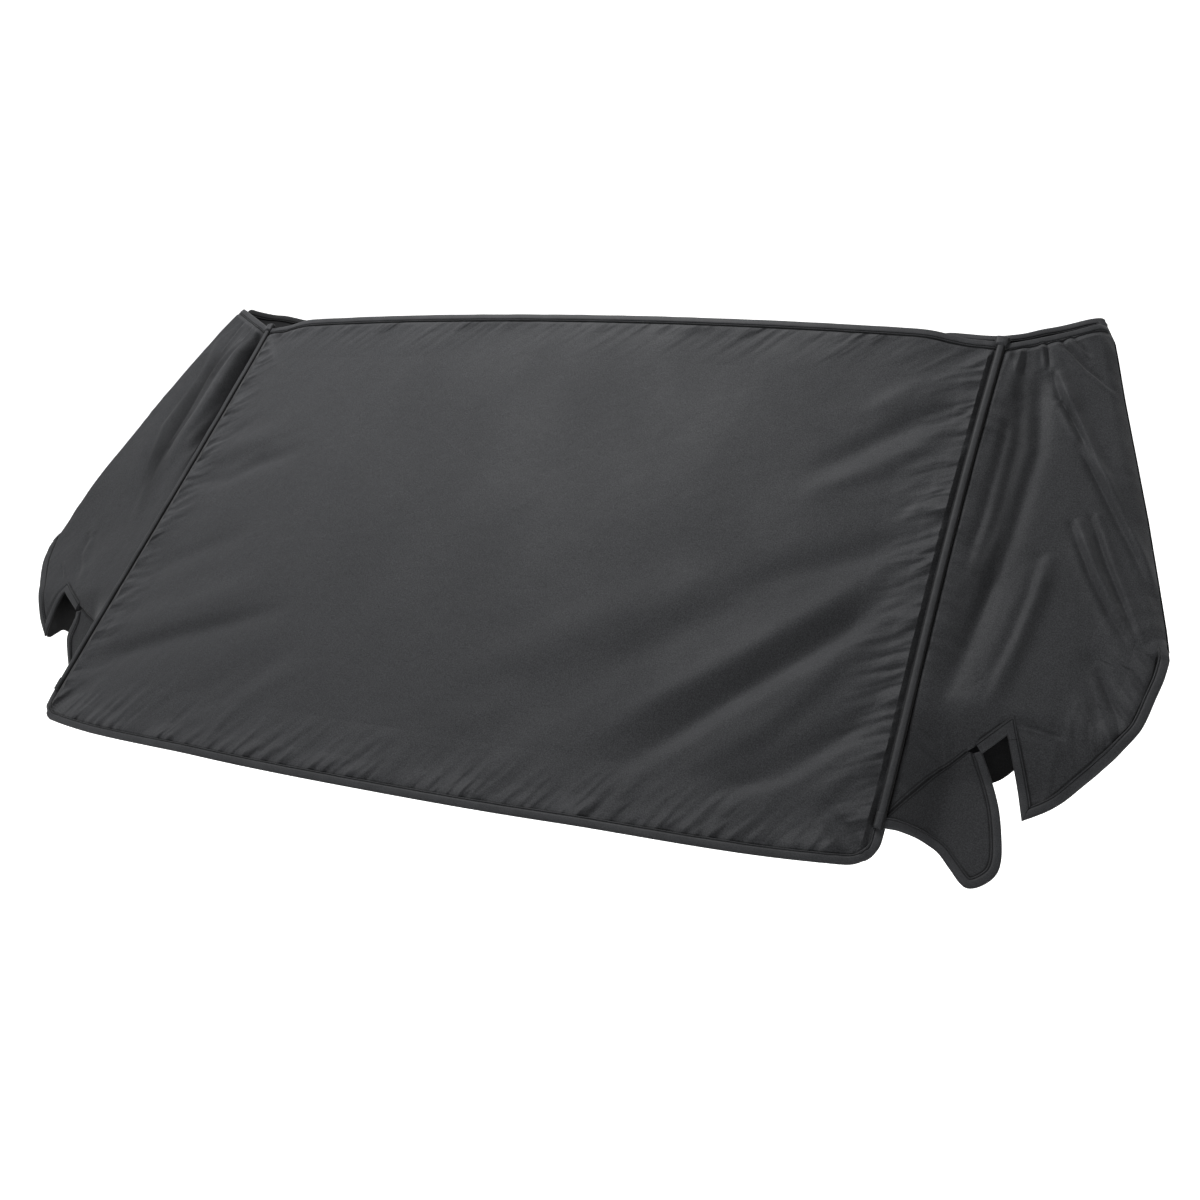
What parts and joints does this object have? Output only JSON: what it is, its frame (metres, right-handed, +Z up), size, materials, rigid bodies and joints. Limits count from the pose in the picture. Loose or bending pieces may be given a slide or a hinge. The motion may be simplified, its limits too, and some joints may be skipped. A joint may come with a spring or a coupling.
{
  "type": "windscreen cover",
  "caption": "Fitted dark polyester windscreen cover with a piped front panel, side wings gathered over the pillars, mirror tongues and inner door flaps.",
  "frame": {"origin": "midway between the two top corners of the front panel, just under the top edge", "axes": "+X to the cover's right as seen from the front, along its width; +Y to the rear; +Z up"},
  "size_m": [2.1469, 0.7949, 0.7913],
  "materials": {
    "cover_cloth": "dark grey woven polyester, matte with a faint sheen",
    "edge_binding": "dark grey folded tape, stitched near both edges",
    "flap_cloth": "inner side of the same polyester, darker and matte"
  },
  "bodies": {
    "root": {"windscreen_panel": "cover_cloth", "top_binding": "edge_binding", "bottom_binding": "edge_binding", "pillar_piping_right": "edge_binding", "corner_tape_right": "edge_binding", "piping_tab_right": "edge_binding", "wing_right": "cover_cloth", "wing_top_binding_right": "edge_binding", "notch_binding_right": "edge_binding", "hem_binding_right": "edge_binding", "mirror_tongue_right": "cover_cloth", "tongue_binding_right": "edge_binding", "door_flap_right": "flap_cloth", "flap_top_binding_right": "edge_binding", "pillar_piping_left": "edge_binding", "corner_tape_left": "edge_binding", "piping_tab_left": "edge_binding", "wing_left": "cover_cloth", "wing_top_binding_left": "edge_binding", "notch_binding_left": "edge_binding", "hem_binding_left": "edge_binding", "mirror_tongue_left": "cover_cloth", "tongue_binding_left": "edge_binding", "door_flap_left": "flap_cloth", "flap_top_binding_left": "edge_binding"}
  },
  "joints": []
}
